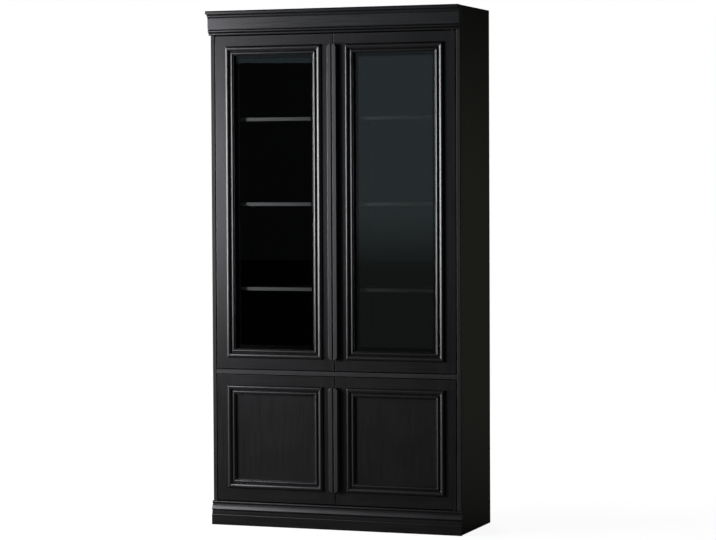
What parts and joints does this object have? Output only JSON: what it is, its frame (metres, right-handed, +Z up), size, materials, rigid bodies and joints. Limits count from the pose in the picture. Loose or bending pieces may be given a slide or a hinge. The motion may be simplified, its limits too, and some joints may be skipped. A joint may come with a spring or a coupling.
{
  "type": "bookcase with glass doors",
  "caption": "Tall black bookcase: shelves behind framed glass doors, closed compartments behind panelled doors below, moulded cornice and plinth.",
  "frame": {"origin": "on the floor, under the middle of the whole piece", "axes": "+X to the right and +Y to the back for someone who faces the doors, +Z up"},
  "size_m": [1.1, 0.45, 2.15],
  "materials": {
    "black_painted_wood": "black paint brushed on, slight sheen",
    "black_lined_wood": "plain matt black board",
    "clear_glass": "clear",
    "steel": "zinc plated",
    "catch_plastic": "matt"
  },
  "bodies": {
    "case": {"side_panel_left": "black_painted_wood", "side_panel_right": "black_painted_wood", "bottom_board": "black_painted_wood", "middle_board": "black_painted_wood", "top_board": "black_painted_wood", "upper_partition": "black_lined_wood", "lower_partition": "black_lined_wood", "back_panel": "black_lined_wood", "plinth_rails": "black_lined_wood", "top_rail": "black_painted_wood", "wall_rail": "black_lined_wood", "plinth_board": "black_painted_wood", "plinth_moulding": "black_painted_wood", "frieze_board": "black_painted_wood", "crown_moulding": "black_painted_wood", "bead_moulding": "black_painted_wood", "upper_left_shelf_1": "black_painted_wood", "upper_left_shelf_2": "black_painted_wood", "upper_left_shelf_3": "black_painted_wood", "upper_right_shelf_1": "black_painted_wood", "upper_right_shelf_2": "black_painted_wood", "upper_right_shelf_3": "black_painted_wood", "lower_shelves": "black_painted_wood", "shelf_battens": "black_lined_wood", "case_pivots": "steel", "door_catches": "catch_plastic"},
    "upper_left_door": {"upper_left_door_outer_stile": "black_painted_wood", "upper_left_door_meeting_stile": "black_painted_wood", "upper_left_door_top_rail": "black_painted_wood", "upper_left_door_bottom_rail": "black_painted_wood", "upper_left_door_moulding": "black_painted_wood", "upper_left_door_glass": "clear_glass", "upper_left_door_glass_retainers": "black_painted_wood", "upper_left_door_handle": "black_painted_wood", "upper_left_door_fittings": "steel"},
    "upper_right_door": {"upper_right_door_outer_stile": "black_painted_wood", "upper_right_door_meeting_stile": "black_painted_wood", "upper_right_door_top_rail": "black_painted_wood", "upper_right_door_bottom_rail": "black_painted_wood", "upper_right_door_moulding": "black_painted_wood", "upper_right_door_glass": "clear_glass", "upper_right_door_glass_retainers": "black_painted_wood", "upper_right_door_handle": "black_painted_wood", "upper_right_door_fittings": "steel"},
    "lower_left_door": {"lower_left_door_outer_stile": "black_painted_wood", "lower_left_door_meeting_stile": "black_painted_wood", "lower_left_door_top_rail": "black_painted_wood", "lower_left_door_bottom_rail": "black_painted_wood", "lower_left_door_moulding": "black_painted_wood", "lower_left_door_panel": "black_painted_wood", "lower_left_door_handle": "black_painted_wood", "lower_left_door_fittings": "steel"},
    "lower_right_door": {"lower_right_door_outer_stile": "black_painted_wood", "lower_right_door_meeting_stile": "black_painted_wood", "lower_right_door_top_rail": "black_painted_wood", "lower_right_door_bottom_rail": "black_painted_wood", "lower_right_door_moulding": "black_painted_wood", "lower_right_door_panel": "black_painted_wood", "lower_right_door_handle": "black_painted_wood", "lower_right_door_fittings": "steel"}
  },
  "joints": [
    {"name": "upper_left_hinge", "type": "hinge", "parent": "case", "child": "upper_left_door", "pos_m": [-0.5125, -0.166, 1.352], "axis": [0, 0, -1], "range_deg": [0, 110]},
    {"name": "upper_right_hinge", "type": "hinge", "parent": "case", "child": "upper_right_door", "pos_m": [0.5125, -0.166, 1.352], "axis": [0, 0, 1], "range_deg": [0, 110]},
    {"name": "lower_left_hinge", "type": "hinge", "parent": "case", "child": "lower_left_door", "pos_m": [-0.5125, -0.166, 0.368], "axis": [0, 0, -1], "range_deg": [0, 110]},
    {"name": "lower_right_hinge", "type": "hinge", "parent": "case", "child": "lower_right_door", "pos_m": [0.5125, -0.166, 0.368], "axis": [0, 0, 1], "range_deg": [0, 110]}
  ]
}
